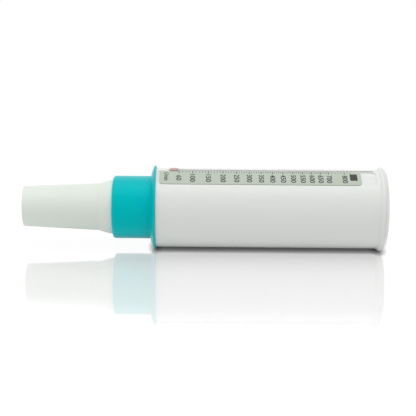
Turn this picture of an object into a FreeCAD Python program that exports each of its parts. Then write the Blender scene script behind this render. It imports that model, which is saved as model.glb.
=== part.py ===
import FreeCAD, Part
import math
import os

# A peak flow meter of the piston kind, lying on its two rims with its slot up.
# X runs along the meter with the mouthpiece towards -X, and Z is up. Sizes are millimetres.
# The origin is on the surface that it lies on, under the middle of its length.

# Body tube
tube_outer_radius = 25.0
tube_wall = 1.8
tube_length = 142.3
rim_height = 1.5
tube_rim_width = 1.9
tube_rim_slope = 2.2
tube_edge_break = 0.25

# Slot for the pointer, and the shallow recess that the scale plate lies in
slot_width = 2.4
slot_rear_room = 5.7
slot_room_before_neck = 2.3
recess_start = 1.1
recess_rear_room = 4.7
recess_depth = 0.6
recess_half_angle = 36.6

# Scale plate
plate_front_gap = 1.4
plate_rear_gap = 9.6
plate_side_gap_angle = 1.9
plate_thickness = 0.5
plate_glue = 0.05
plate_corner = 2.3
plate_slot_margin = 0.3

# Inlet collar: a socket for the mouthpiece, a flange, and a skirt that plugs into the tube
socket_radius = 17.0
socket_depth = 20.7
collar_wall = 2.85
collar_reach = 27.2
collar_lip_round = 2.0
collar_root_round = 0.8
flange_thickness = 2.9
flange_land = 1.15
flange_cone_height = 4.5
flange_edge_round = 0.9
stop_lip = 1.8
stop_thickness = 2.0
skirt_length = 4.6
skirt_wall = 1.7
plug_fit = 0.08

# Mouthpiece
mouthpiece_exposed = 56.5
mouthpiece_tip_radius = 12.65
mouthpiece_taper_end_radius = 14.85
mouthpiece_taper_length = 47.4
mouthpiece_flare_length = 6.4
mouthpiece_bend = 4.0
mouthpiece_shoulder_drop = 0.2
mouthpiece_wall = 1.3
mouthpiece_lip_round = 0.5
mouthpiece_fit = 0.05
mouthpiece_end_gap = 0.1

# Rod, the spider that carries its front end, and the two push-on clips
rod_radius = 1.5
rod_end_break = 0.3
rod_front_reach = 1.2
rod_rear_drop = 0.3
rod_seat_fit = 0.02
spider_width = 4.3
spider_ring_wall = 1.5
spider_hub_radius = 4.2
spider_arm_width = 1.8
spider_arm_count = 3
spider_fit = 0.05
clip_radius = 3.6
clip_thickness = 0.35
clip_tooth_reach = 1.1
clip_tooth_gap = 0.5
clip_tooth_count = 6
clip_stand_off = 0.05
bumper_radius = 4.0
bumper_thickness = 1.2

# Piston: a thin ribbed disc on a bush that slides on the rod
piston_gap = 0.4
piston_width = 3.2
piston_rim_wall = 1.0
piston_web = 0.8
piston_boss_radius = 6.0
piston_rib_count = 6
piston_rib_width = 0.8
piston_rib_drop = 0.8
piston_clear_of_skirt = 1.0
bush_radius = 3.45
bush_nose_radius = 4.4
bush_flange_thickness = 1.0
bush_tail = 1.6
bush_running_fit = 0.05
bush_seat_fit = 0.05
ring_thickness = 0.6
ring_radius = 5.6
rest_gap = 0.1

# Return spring, drawn at rest between the bush and the rear cap
spring_wire = 0.5
spring_side_count = 4
spring_mean_radius = 2.5
spring_turn_count = 10
spring_end_gap = 0.05

# Pointer, the shoe that holds it from inside the tube, and the leaf that gives it drag
pointer_front_overhang = 0.2
pointer_length = 5.1
pointer_half_width = 2.2
pointer_thickness = 0.65
pointer_corner = 0.8
pointer_lift = 0.1
neck_front_inset = 1.1
neck_length = 3.0
neck_side_gap = 0.2
neck_fit = 0.05
neck_barb = 0.3
neck_barb_height = 0.5
shoe_piston_gap = 0.3
shoe_length = 4.7
shoe_half_angle = 11.5
shoe_thickness = 2.0
shoe_clearance = 0.3
leaf_half_angle = 10.5
leaf_length = 3.9
leaf_thickness = 0.15
leaf_drag_gap = 0.08

# Rear cap with its grille
cap_thickness = 2.3
cap_edge_round = 2.0
cap_skirt_length = 5.6
cap_skirt_wall = 1.6
cap_standing_ring = 5.5
cap_face_recess = 0.7
cap_pocket_radius = 4.8
cap_pocket_floor = 0.2
cap_boss_radius = 4.2
cap_boss_length = 2.3
grille_slot_count = 8
grille_slot_width = 3.6
grille_inner_radius = 8.2
grille_outer_radius = 18.6

# How round corners are drawn: small ones as one bevel, larger ones as a few flats on their arc
smallest_arc = 1.0
arc_flat_count = 2

# How far a cutter runs past what it cuts, how deep a web or rib runs into what it joins,
# and how far from square to the axis an edge may be and still count as square
cutter_margin = 1.0
joining_depth = 1.0
square_slack = 0.01

# Places worked out from the sizes above
tube_bore_radius = tube_outer_radius - tube_wall
rim_radius = tube_outer_radius + rim_height
axis_height = rim_radius
overall_length = mouthpiece_exposed + collar_reach + tube_length + cap_thickness
tube_front = -overall_length / 2 + mouthpiece_exposed + collar_reach
tube_rear = tube_front + tube_length
recess_front = tube_front + recess_start
recess_rear = tube_rear - recess_rear_room
collar_front = tube_front - collar_reach
socket_floor = collar_front + socket_depth
spider_seat = socket_floor + stop_thickness
spider_rear = spider_seat + spider_width
recess_radius = tube_outer_radius - recess_depth
plate_inner_radius = recess_radius + plate_glue
plate_outer_radius = plate_inner_radius + plate_thickness
plate_front = recess_front + plate_front_gap
plate_rear = recess_rear - plate_rear_gap
piston_radius = tube_bore_radius - piston_gap
piston_front = tube_front + skirt_length + piston_clear_of_skirt
piston_rear = piston_front + piston_width
bumper_rear = spider_rear + bumper_thickness
bush_front = bumper_rear + rest_gap
bush_rear = piston_rear + bush_tail
cap_boss_front = tube_rear - cap_boss_length
shoe_outer_radius = tube_bore_radius - shoe_clearance
shoe_inner_radius = shoe_outer_radius - shoe_thickness
shoe_front = piston_rear + shoe_piston_gap
pointer_front = shoe_front - pointer_front_overhang
neck_front = pointer_front + neck_front_inset
slot_front = neck_front - slot_room_before_neck
slot_rear = tube_rear - slot_rear_room

AXIS_POINT = FreeCAD.Vector(0, 0, axis_height)
AXIS_DIRECTION = FreeCAD.Vector(1, 0, 0)


def soft_corner(before, corner, after, radius):
    """Points along an arc of this radius that rounds a corner of an outline, few to keep faces few."""
    to_before = (before - corner).normalize()
    to_after = (after - corner).normalize()
    half_angle = to_before.getAngle(to_after) / 2
    centre = corner + (to_before + to_after).normalize() * (radius / math.sin(half_angle))
    first = corner + to_before * (radius / math.tan(half_angle)) - centre
    last = corner + to_after * (radius / math.tan(half_angle)) - centre
    sweep = math.pi - 2 * half_angle
    flats = 1 if radius < smallest_arc else arc_flat_count
    points = []
    for step in range(flats + 1):
        share = step / flats
        near_first = first * (math.sin((1 - share) * sweep) / math.sin(sweep))
        near_last = last * (math.sin(share * sweep) / math.sin(sweep))
        points.append(centre + near_first + near_last)
    return points


def turned(outline):
    """A solid of revolution about the meter's axis from (x, radius) corners.

    A corner with a third value is rounded by that radius.
    """
    corners = [FreeCAD.Vector(corner[0], 0, axis_height + corner[1]) for corner in outline]
    points = []
    for number, corner in enumerate(outline):
        if len(corner) == 2:
            points.append(corners[number])
            continue
        after = corners[(number + 1) % len(corners)]
        points += soft_corner(corners[number - 1], corners[number], after, corner[2])
    return Part.Face(Part.makePolygon(points + points[:1])).revolve(AXIS_POINT, AXIS_DIRECTION, 360)


def washer(x_low, x_high, inner, outer):
    """A plain ring about the axis."""
    return turned([(x_low, inner), (x_high, inner), (x_high, outer), (x_low, outer)])


def sector(x_low, x_high, inner, outer, half_angle):
    """A piece of a ring that spans half_angle degrees to each side of the top."""
    low = axis_height + inner
    high = axis_height + outer
    corners = [
        FreeCAD.Vector(x_low, 0, low),
        FreeCAD.Vector(x_high, 0, low),
        FreeCAD.Vector(x_high, 0, high),
        FreeCAD.Vector(x_low, 0, high),
    ]
    face = Part.Face(Part.makePolygon(corners + corners[:1]))
    face.rotate(AXIS_POINT, AXIS_DIRECTION, -half_angle)
    return face.revolve(AXIS_POINT, AXIS_DIRECTION, 2 * half_angle)


def round_radial_corners(shape, radius):
    """Round the corners of a curved plate, which are its straight edges that point to the axis."""
    chosen = []
    for edge in shape.Edges:
        straight = isinstance(edge.Curve, Part.Line)
        if straight and abs(edge.tangentAt(edge.FirstParameter).x) < square_slack:
            chosen.append(edge)
    return shape.makeFillet(radius, chosen)


def long_hole(x_low, x_high, width):
    """An upright cutter with round ends, through the top half of the tube."""
    half = width / 2
    start = FreeCAD.Vector(x_low + half, -half, axis_height)
    outline = Part.Wire([
        Part.makeLine(start, FreeCAD.Vector(x_high - half, -half, axis_height)),
        Part.Arc(
            FreeCAD.Vector(x_high - half, -half, axis_height),
            FreeCAD.Vector(x_high, 0, axis_height),
            FreeCAD.Vector(x_high - half, half, axis_height),
        ).toShape(),
        Part.makeLine(
            FreeCAD.Vector(x_high - half, half, axis_height),
            FreeCAD.Vector(x_low + half, half, axis_height),
        ),
        Part.Arc(
            FreeCAD.Vector(x_low + half, half, axis_height),
            FreeCAD.Vector(x_low, 0, axis_height),
            start,
        ).toShape(),
    ])
    return Part.Face(outline).extrude(FreeCAD.Vector(0, 0, rim_radius + cutter_margin))


def upright_block(x_low, length, width, low, high):
    """A block on the top side of the axis, between two heights above the axis."""
    corner = FreeCAD.Vector(x_low, -width / 2, axis_height + low)
    return Part.makeBox(length, width, high - low, corner)


def around_axis(shape, count):
    """Copies of a shape spread evenly about the axis."""
    copies = []
    for number in range(count):
        copy = shape.copy()
        copy.rotate(AXIS_POINT, AXIS_DIRECTION, 360.0 * number / count)
        copies.append(copy)
    return copies


def make_body_tube():
    """Tube with its rear rim, the recess for the scale plate and the pointer's slot."""
    rim_front = tube_rear - tube_rim_width
    tube = turned([
        (tube_front, tube_bore_radius),
        (tube_rear, tube_bore_radius),
        (tube_rear, rim_radius, tube_edge_break),
        (rim_front, rim_radius, tube_rim_width / 2),
        (rim_front - tube_rim_slope, tube_outer_radius, tube_rim_slope),
        (tube_front, tube_outer_radius, tube_edge_break),
    ])
    recess = sector(
        recess_front, recess_rear, recess_radius, rim_radius + cutter_margin, recess_half_angle)
    recess = round_radial_corners(recess, plate_corner)
    return tube.cut(recess).cut(long_hole(slot_front, slot_rear, slot_width))


def make_scale_plate():
    """Thin curved plate in the recess, slotted like the tube and with round corners."""
    half_angle = recess_half_angle - plate_side_gap_angle
    plate = sector(plate_front, plate_rear, plate_inner_radius, plate_outer_radius, half_angle)
    plate = round_radial_corners(plate, plate_corner)
    width = slot_width + 2 * plate_slot_margin
    return plate.cut(long_hole(slot_front - plate_slot_margin, plate_rear + width, width))


def make_inlet_collar():
    """Socket with a round lip, flange with a sloping front, and the skirt inside the tube."""
    collar_radius = socket_radius + collar_wall
    flange_front = tube_front - flange_thickness
    land_front = tube_front - flange_land
    seat_radius = socket_radius + stop_lip - spider_fit
    skirt_radius = tube_bore_radius - plug_fit
    return turned([
        (collar_front, socket_radius),
        (collar_front, collar_radius, collar_lip_round),
        (flange_front, collar_radius, collar_root_round),
        (flange_front, rim_radius - flange_cone_height),
        (land_front, rim_radius, flange_edge_round),
        (tube_front, rim_radius),
        (tube_front, skirt_radius),
        (tube_front + skirt_length, skirt_radius),
        (tube_front + skirt_length, skirt_radius - skirt_wall),
        (tube_front, skirt_radius - skirt_wall),
        (tube_front, seat_radius),
        (spider_seat, seat_radius),
        (spider_seat, socket_radius - stop_lip),
        (socket_floor, socket_radius - stop_lip),
        (socket_floor, socket_radius),
    ])


def mouthpiece_side(inset, lip_round, bend):
    """Corners of the mouthpiece's side from its tip to its inner end, moved inwards by inset."""
    tip = collar_front - mouthpiece_exposed
    taper_end = tip + mouthpiece_taper_length
    flare_end = taper_end + mouthpiece_flare_length
    spigot_radius = socket_radius - mouthpiece_fit
    shoulder_radius = spigot_radius - mouthpiece_shoulder_drop
    inner_end = socket_floor - mouthpiece_end_gap
    return [
        (tip, mouthpiece_tip_radius - inset) + lip_round,
        (taper_end, mouthpiece_taper_end_radius - inset) + bend,
        (flare_end, shoulder_radius - inset) + bend,
        (collar_front, spigot_radius - inset),
        (inner_end, spigot_radius - inset),
    ]


def make_mouthpiece():
    """Open tapered tube that flares and ends in the spigot that fills the socket.

    Its corners are rounded outside and plain inside.
    """
    outside = mouthpiece_side(0, (mouthpiece_lip_round,), (mouthpiece_bend,))
    inside = mouthpiece_side(mouthpiece_wall, (), ())
    return turned(outside + inside[::-1])


def make_rod_spider():
    """Ring with thin arms and a hub, which carries the rod and lets the breath past."""
    ring_radius_outer = socket_radius + stop_lip - 2 * spider_fit
    ring_radius_inner = ring_radius_outer - spider_ring_wall
    bore = rod_radius + rod_seat_fit
    ring = washer(spider_seat, spider_rear, ring_radius_inner, ring_radius_outer)
    hub = washer(spider_seat, spider_rear, bore, spider_hub_radius)
    middle = (bore + spider_hub_radius) / 2
    arm = upright_block(
        spider_seat, spider_width, spider_arm_width, middle, ring_radius_inner + spider_ring_wall / 2)
    return ring.multiFuse([hub] + around_axis(arm, spider_arm_count)).removeSplitter()


def make_guide_rod():
    """Plain drawn rod with broken ends, from in front of the spider to the cap's pocket."""
    front = spider_seat - rod_front_reach
    rear = tube_rear + cap_thickness - cap_face_recess - rod_rear_drop
    return turned([
        (front, 0),
        (front, rod_radius - rod_end_break),
        (front + rod_end_break, rod_radius),
        (rear - rod_end_break, rod_radius),
        (rear, rod_radius - rod_end_break),
        (rear, 0),
    ])


def make_rod_clip(x_low):
    """Push-on clip: a thin ring whose inner edge is cut into teeth that grip the rod."""
    bore = rod_radius + rod_seat_fit
    ring = washer(x_low, x_low + clip_thickness, bore, clip_radius)
    gap = upright_block(
        x_low - cutter_margin, clip_thickness + 2 * cutter_margin, clip_tooth_gap,
        rod_radius / 2, bore + clip_tooth_reach)
    return ring.cut(Part.makeCompound(around_axis(gap, clip_tooth_count)))


def make_rest_bumper():
    """Soft washer on the rod that the piston's bush comes back to."""
    return washer(spider_rear, bumper_rear, rod_radius + bush_running_fit, bumper_radius)


def make_piston_disc():
    """Light disc: a thin web, a rim, a boss for the bush and radial ribs on the front."""
    hole = bush_radius + bush_seat_fit
    rim = washer(piston_front, piston_rear, piston_radius - piston_rim_wall, piston_radius)
    boss = washer(piston_front, piston_rear, hole, piston_boss_radius)
    inner = piston_boss_radius - joining_depth
    outer = piston_radius - piston_rim_wall / 2
    web = washer(piston_rear - piston_web, piston_rear, inner, outer)
    rib_front = piston_front + piston_rib_drop
    rib_length = piston_rear - rib_front - piston_web / 2
    rib = upright_block(rib_front, rib_length, piston_rib_width, inner, outer)
    return rim.multiFuse([boss, web] + around_axis(rib, piston_rib_count)).removeSplitter()


def make_piston_bush():
    """Low-friction bush: nose, flange against the disc's boss, barrel through the disc."""
    bore = rod_radius + bush_running_fit
    flange_front = piston_front - bush_flange_thickness
    return turned([
        (bush_front, bore),
        (bush_front, bush_nose_radius),
        (flange_front, bush_nose_radius),
        (flange_front, piston_boss_radius),
        (piston_front, piston_boss_radius),
        (piston_front, bush_radius),
        (bush_rear, bush_radius),
        (bush_rear, bore),
    ])


def make_piston_ring():
    """Push-on ring behind the disc that holds it on the bush."""
    return washer(piston_rear, piston_rear + ring_thickness, bush_radius + bush_seat_fit, ring_radius)


def make_return_spring():
    """Open coil of fine wire on the rod, from the bush to the boss of the rear cap."""
    front = bush_rear + spring_end_gap + spring_wire / 2
    length = cap_boss_front - spring_end_gap - spring_wire / 2 - front
    path = Part.makeHelix(length / spring_turn_count, length, spring_mean_radius)
    corners = []
    for number in range(spring_side_count + 1):
        angle = 2 * math.pi * number / spring_side_count
        corners.append(FreeCAD.Vector(
            spring_mean_radius + spring_wire / 2 * math.cos(angle), 0, spring_wire / 2 * math.sin(angle)))
    section = Part.makePolygon(corners)
    spring = Part.Wire(path.Edges).makePipeShell([section], True, True)
    spring.rotate(FreeCAD.Vector(0, 0, 0), FreeCAD.Vector(0, 1, 0), 90)
    spring.translate(FreeCAD.Vector(front, 0, axis_height))
    return spring


def pointer_neck(margin, low, high):
    """The pointer's neck as a block, with a margin all round for the holes that it passes."""
    width = slot_width - 2 * neck_side_gap
    return upright_block(
        neck_front - margin, neck_length + 2 * margin, width + 2 * margin, low, high)


def make_pointer():
    """Low curved tab that rides on the scale plate, with a barbed neck down through the slot."""
    tab_inner = plate_outer_radius + pointer_lift
    tab_angle = math.degrees(math.asin(pointer_half_width / tab_inner))
    tab = sector(
        pointer_front, pointer_front + pointer_length, tab_inner, tab_inner + pointer_thickness, tab_angle)
    tab = round_radial_corners(tab, pointer_corner)
    barb_width = slot_width / 2
    barb_top = math.sqrt(shoe_inner_radius ** 2 - (barb_width / 2) ** 2) - neck_fit
    barb_foot = barb_top - neck_barb_height
    neck = pointer_neck(0, barb_foot, tab_inner + pointer_thickness / 2)
    barb = upright_block(
        neck_front - neck_barb, neck_length + 2 * neck_barb, barb_width, barb_foot, barb_top)
    return tab.multiFuse([neck, barb]).removeSplitter()


def make_pointer_shoe():
    """Block inside the tube that the piston pushes, with a hole for the pointer's neck."""
    shoe = sector(
        shoe_front, shoe_front + shoe_length, shoe_inner_radius, shoe_outer_radius, shoe_half_angle)
    return shoe.cut(pointer_neck(neck_fit, 0, rim_radius))


def make_pointer_leaf():
    """Thin curved leaf on the shoe that drags on the tube's bore."""
    outer = tube_bore_radius - leaf_drag_gap
    front = shoe_front + (shoe_length - leaf_length) / 2
    leaf = sector(front, front + leaf_length, outer - leaf_thickness, outer, leaf_half_angle)
    return leaf.cut(pointer_neck(neck_fit, 0, rim_radius))


def grille_slot():
    """Cutter for one long hole of the rear grille, pointing away from the axis."""
    half = grille_slot_width / 2
    start = tube_rear - cutter_margin
    depth = cap_thickness + 2 * cutter_margin
    inner_end = FreeCAD.Vector(start, 0, axis_height + grille_inner_radius + half)
    outer_end = FreeCAD.Vector(start, 0, axis_height + grille_outer_radius - half)
    ends = [Part.makeCylinder(half, depth, place, AXIS_DIRECTION) for place in (inner_end, outer_end)]
    straight = Part.makeBox(
        depth, grille_slot_width, outer_end.z - inner_end.z,
        FreeCAD.Vector(start, -half, inner_end.z))
    return straight.multiFuse(ends).removeSplitter()


def make_rear_cap():
    """End cap: standing ring, sunk grille, pocket and boss for the rod, skirt inside the tube."""
    face = tube_rear + cap_thickness
    sunk_face = face - cap_face_recess
    pocket = tube_rear + cap_pocket_floor
    skirt_radius = tube_bore_radius - plug_fit
    sunk_radius = rim_radius - cap_standing_ring
    bore = rod_radius + rod_seat_fit
    cap = turned([
        (cap_boss_front, bore),
        (cap_boss_front, cap_boss_radius),
        (tube_rear, cap_boss_radius),
        (tube_rear, skirt_radius - cap_skirt_wall),
        (tube_rear - cap_skirt_length, skirt_radius - cap_skirt_wall),
        (tube_rear - cap_skirt_length, skirt_radius),
        (tube_rear, skirt_radius),
        (tube_rear, rim_radius),
        (face, rim_radius, cap_edge_round),
        (face, sunk_radius),
        (sunk_face, sunk_radius),
        (sunk_face, cap_pocket_radius),
        (pocket, cap_pocket_radius),
        (pocket, bore),
    ])
    return cap.cut(Part.makeCompound(around_axis(grille_slot(), grille_slot_count)))


def build():
    """Every piece of the meter by its node name."""
    rear_clip_place = tube_rear + cap_pocket_floor + clip_stand_off
    front_clip_place = spider_seat - clip_stand_off - clip_thickness
    return {
        "mouthpiece": make_mouthpiece(),
        "inlet_collar": make_inlet_collar(),
        "body_tube": make_body_tube(),
        "scale_plate": make_scale_plate(),
        "rear_cap": make_rear_cap(),
        "rod_spider": make_rod_spider(),
        "guide_rod": make_guide_rod(),
        "rod_front_clip": make_rod_clip(front_clip_place),
        "rod_rear_clip": make_rod_clip(rear_clip_place),
        "rest_bumper": make_rest_bumper(),
        "piston_disc": make_piston_disc(),
        "piston_bush": make_piston_bush(),
        "piston_ring": make_piston_ring(),
        "return_spring": make_return_spring(),
        "pointer": make_pointer(),
        "pointer_shoe": make_pointer_shoe(),
        "pointer_leaf": make_pointer_leaf(),
    }


def main():
    os.makedirs("parts", exist_ok=True)
    for node, shape in build().items():
        shape.exportStep("parts/" + node + ".step")
        box = shape.BoundBox
        print(
            node, "solids", len(shape.Solids), "valid", shape.isValid(), "volume", round(shape.Volume, 1),
            "x %.2f %.2f  y %.2f %.2f  z %.2f %.2f" % (
                box.XMin, box.XMax, box.YMin, box.YMax, box.ZMin, box.ZMax))


main()
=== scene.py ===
import math

import bmesh
import bpy
import numpy as np
from bpy.props import FloatProperty, FloatVectorProperty, IntProperty, PointerProperty, StringProperty
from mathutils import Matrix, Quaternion, Vector


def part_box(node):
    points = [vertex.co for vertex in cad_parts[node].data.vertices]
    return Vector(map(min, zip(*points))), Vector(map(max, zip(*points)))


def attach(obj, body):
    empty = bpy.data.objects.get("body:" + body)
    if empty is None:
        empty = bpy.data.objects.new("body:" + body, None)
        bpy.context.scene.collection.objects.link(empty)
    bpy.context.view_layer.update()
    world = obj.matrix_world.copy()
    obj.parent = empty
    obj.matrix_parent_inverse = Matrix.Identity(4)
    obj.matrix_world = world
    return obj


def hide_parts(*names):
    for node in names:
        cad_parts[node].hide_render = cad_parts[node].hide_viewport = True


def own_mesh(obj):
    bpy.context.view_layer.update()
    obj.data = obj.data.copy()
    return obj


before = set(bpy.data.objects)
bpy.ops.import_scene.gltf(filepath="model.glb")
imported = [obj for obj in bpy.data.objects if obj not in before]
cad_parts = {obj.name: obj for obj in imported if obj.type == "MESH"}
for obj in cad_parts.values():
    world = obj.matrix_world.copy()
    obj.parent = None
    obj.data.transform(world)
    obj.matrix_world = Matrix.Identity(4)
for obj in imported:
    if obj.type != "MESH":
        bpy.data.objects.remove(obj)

bl_info = {
    "name": "Peak Flow Meter",
    "version": (1, 0, 0),
    "blender": (4, 5, 0),
    "location": "View3D > Sidebar > Peak Flow Meter",
    "description": "Visible surfaces and finishes of a piston peak flow meter, on its packed frame",
    "category": "Add Mesh",
}

# Units
MM = 0.001

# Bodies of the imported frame
METER_BODY = "meter_body"
MOUTHPIECE_BODY = "mouthpiece_body"
POINTER_BODY = "pointer_body"

# How finely round shapes are drawn
QUARTER = math.pi / 2
TURN_STEPS = 144
CORNER_STEPS = 8
SIDE_STEP = 2.5 * MM
SIDE_HOLD = 0.12 * MM
MERGE_DISTANCE = 0.001 * MM
CREASE = math.radians(32)


def corners_of(node):
    """Lowest and highest corner of a CAD node, as arrays."""
    low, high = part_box(node)
    return np.array(low), np.array(high)


# Places read from the frame
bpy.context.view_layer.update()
AXIS_HEIGHT = corners_of("body_tube")[1][2] / 2
RIM_RADIUS = AXIS_HEIGHT


def reach_of(node):
    """Front end, rear end and outer radius of a node that was turned about the meter's axis."""
    low, high = corners_of(node)
    return low[0], high[0], high[2] - AXIS_HEIGHT


MOUTHPIECE_TIP, MOUTHPIECE_END, SPIGOT_RADIUS = reach_of("mouthpiece")
COLLAR_FRONT, SKIRT_END, _ = reach_of("inlet_collar")
TUBE_FRONT, TUBE_REAR, _ = reach_of("body_tube")
PLATE_FRONT, PLATE_REAR, PLATE_RADIUS = reach_of("scale_plate")
PLATE_HALF_ANGLE = math.asin(corners_of("scale_plate")[1][1] / PLATE_RADIUS)
CAP_FRONT, CAP_FACE, _ = reach_of("rear_cap")
SPRING_FRONT, SPRING_REAR, SPRING_RADIUS = reach_of("return_spring")
POINTER_FRONT, POINTER_REAR, POINTER_RADIUS = reach_of("pointer")
POINTER_FOOT = corners_of("pointer")[0][2] - AXIS_HEIGHT


# Settings


def length(name, description, millimetres):
    """A length, given in millimetres."""
    return FloatProperty(name=name, description=description, default=millimetres * MM, unit="LENGTH")


def angle(name, description, degrees):
    """An angle, given in degrees."""
    return FloatProperty(name=name, description=description, default=math.radians(degrees), subtype="ANGLE")


def colour(name, description, *rgb):
    """A colour."""
    return FloatVectorProperty(name=name, description=description, default=rgb, subtype="COLOR", size=3)


def share(name, description, value):
    """A number from 0 to 1."""
    return FloatProperty(name=name, description=description, default=value, min=0.0, max=1.0)


def number(name, description, value):
    """A plain number."""
    return FloatProperty(name=name, description=description, default=value)


def count(name, description, value):
    """A whole number."""
    return IntProperty(name=name, description=description, default=value)


class MeterMouthpiece(bpy.types.PropertyGroup):
    tip_radius: length("Tip radius", "Outer radius at the lips' end", 12.65)
    taper_end_radius: length("Taper end radius", "Outer radius where the flare starts", 14.85)
    taper_length: length("Taper length", "From the tip to the flare", 47.4)
    flare_length: length("Flare length", "From the taper to the straight part", 6.4)
    shoulder_drop: length("Shoulder drop", "How much narrower the shoulder is than the spigot", 0.2)
    wall: length("Wall", "Thickness of the wall", 1.3)
    lip_round: length("Lip round", "Radius of the lip", 0.5)
    foot_bend: length("Foot bend", "Radius where the flare starts", 0.5)
    bend: length("Bend", "Radius where the flare ends", 2.0)


class MeterCollar(bpy.types.PropertyGroup):
    socket_radius: length("Socket radius", "Bore that the mouthpiece goes into", 17.0)
    socket_depth: length("Socket depth", "From the lip to the stop", 20.7)
    wall: length("Wall", "Thickness of the socket's wall", 2.85)
    lip_round: length("Lip round", "Radius of the lip", 2.0)
    root_round: length("Root round", "Radius where the socket meets the flange", 0.8)
    flange_thickness: length("Flange thickness", "Of the whole flange", 2.9)
    flange_land: length("Flange land", "Straight part of the flange's edge", 1.15)
    flange_cone: length("Flange cone", "Height of the flange's sloping front", 4.5)
    flange_round: length("Flange round", "Radius of the flange's edge", 0.9)
    stop_height: length("Stop height", "How far the stop stands into the socket", 1.8)
    stop_thickness: length("Stop thickness", "Of the stop, along the meter", 2.0)
    seat_fit: length("Seat fit", "Clearance of the seat behind the stop", 0.05)
    skirt_fit: length("Skirt fit", "Clearance of the skirt in the tube", 0.08)
    skirt_wall: length("Skirt wall", "Thickness of the skirt", 1.7)


class MeterTube(bpy.types.PropertyGroup):
    radius: length("Radius", "Outer radius of the tube", 25.0)
    wall: length("Wall", "Thickness of the wall", 1.8)
    rim_width: length("Rim width", "Flat part of the raised rear rim", 1.35)
    rim_slope: length("Rim slope", "Length of the curve up to the rim", 1.7)
    edge_break: length("Edge break", "Radius of broken edges", 0.25)
    slot_width: length("Slot width", "Width of the pointer's slot", 2.4)
    slot_before_pointer: length("Slot before pointer", "Slot in front of the resting pointer", 1.2)
    slot_rear_room: length("Slot rear room", "From the slot's end to the tube's end", 5.7)
    recess_start: length("Recess start", "From the tube's front to the recess", 1.1)
    recess_rear_room: length("Recess rear room", "From the recess to the tube's end", 4.7)
    recess_depth: length("Recess depth", "How deep the plate's recess is", 0.6)
    recess_corner: length("Recess corner", "Radius of the recess's corners", 2.3)
    recess_half_angle: angle("Recess half angle", "From the top to the recess's long edge", 35.8)
    edge_round: length("Edge round", "Radius of the recess's and slot's edges", 0.1)
    land_width: length("Land width", "Wall left between the slot and the recess", 0.4)


class MeterPlate(bpy.types.PropertyGroup):
    thickness: length("Thickness", "Of the plate", 0.5)
    corner: length("Corner", "Radius of the plate's corners", 2.3)
    edge_gap: length("Edge gap", "From the recess's edge at the slot to the plate", 0.1)
    print_height: length("Print height", "How thick the printing stands", 0.03)
    first_mark: length("First mark", "Place of the lowest mark along the meter", -15.9)
    mark_reach: length("Mark reach", "Factor of the marks' logarithmic spacing", 121.2)
    mark_offset: number("Mark offset", "Flow added before the logarithm, L/min", 490.0)
    lowest_flow: count("Lowest flow", "Flow at the first mark, L/min", 60)
    last_close_flow: count("Last close flow", "Up to this flow the marks stand close, L/min", 700)
    highest_flow: count("Highest flow", "Flow at the last number, L/min", 800)
    close_step: count("Close step", "Flow from mark to close mark, L/min", 10)
    wide_step: count("Wide step", "Flow from mark to mark above those, L/min", 20)
    number_step: count("Number step", "Flow from number to number, L/min", 50)
    mark_start: length("Mark start", "Arc from the slot's middle to the marks", 1.9)
    short_mark: length("Short mark", "Length of a minor mark", 2.2)
    long_mark: length("Long mark", "Length of a numbered mark", 3.1)
    short_mark_width: length("Short mark width", "Thickness of a minor mark's line", 0.32)
    long_mark_width: length("Long mark width", "Thickness of a numbered mark's line", 0.5)
    number_middle: length("Number middle", "Arc from the slot's middle to the numbers' middle", 9.95)
    number_height: length("Number height", "Height of a numeral", 3.3)
    digit_width: length("Digit width", "Width that one numeral takes", 2.4)
    unit_text: StringProperty(name="Unit", description="Unit printed at the front end", default="L/min")
    unit_place: length("Unit place", "Middle of the unit along the meter", -23.6)
    unit_middle: length("Unit middle", "Arc from the slot's middle to the unit's middle", 8.4)
    unit_height: length("Unit height", "Height of the unit's letters", 2.9)
    unit_width: length("Unit width", "Length of the unit's text", 8.2)
    square_front: length("Square front", "Front edge of the dark square", 90.6)
    square_length: length("Square length", "Length of the square along the meter", 4.6)
    square_start: length("Square start", "Arc from the slot's middle to the square", 4.7)
    square_width: length("Square width", "Width of the square round the tube", 6.7)
    square_corner: length("Square corner", "Radius of the square's corners", 0.5)


class MeterPointer(bpy.types.PropertyGroup):
    half_width: length("Half width", "Half the tab's width round the tube", 2.2)
    thickness: length("Thickness", "Of the tab", 0.65)
    corner: length("Corner", "Radius of the tab's corners", 0.8)
    edge_round: length("Edge round", "Radius of the tab's edges", 0.2)
    grip_count: count("Grip lines", "Ridges across the tab", 3)
    grip_depth: length("Grip depth", "Depth of the grooves between the ridges", 0.2)
    grip_fade: count("Grip fade", "How near to the edge the grooves run out", 8)
    neck_inset: length("Neck inset", "From the tab's front to the neck", 1.1)
    neck_length: length("Neck length", "Length of the neck along the meter", 3.0)
    neck_width: length("Neck width", "Width of the neck in the slot", 2.0)
    barb_reach: length("Barb reach", "How far the barb stands out of the neck", 0.3)
    barb_height: length("Barb height", "Height of the barb", 0.5)
    barb_width: length("Barb width", "Width of the barb", 1.2)


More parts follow.
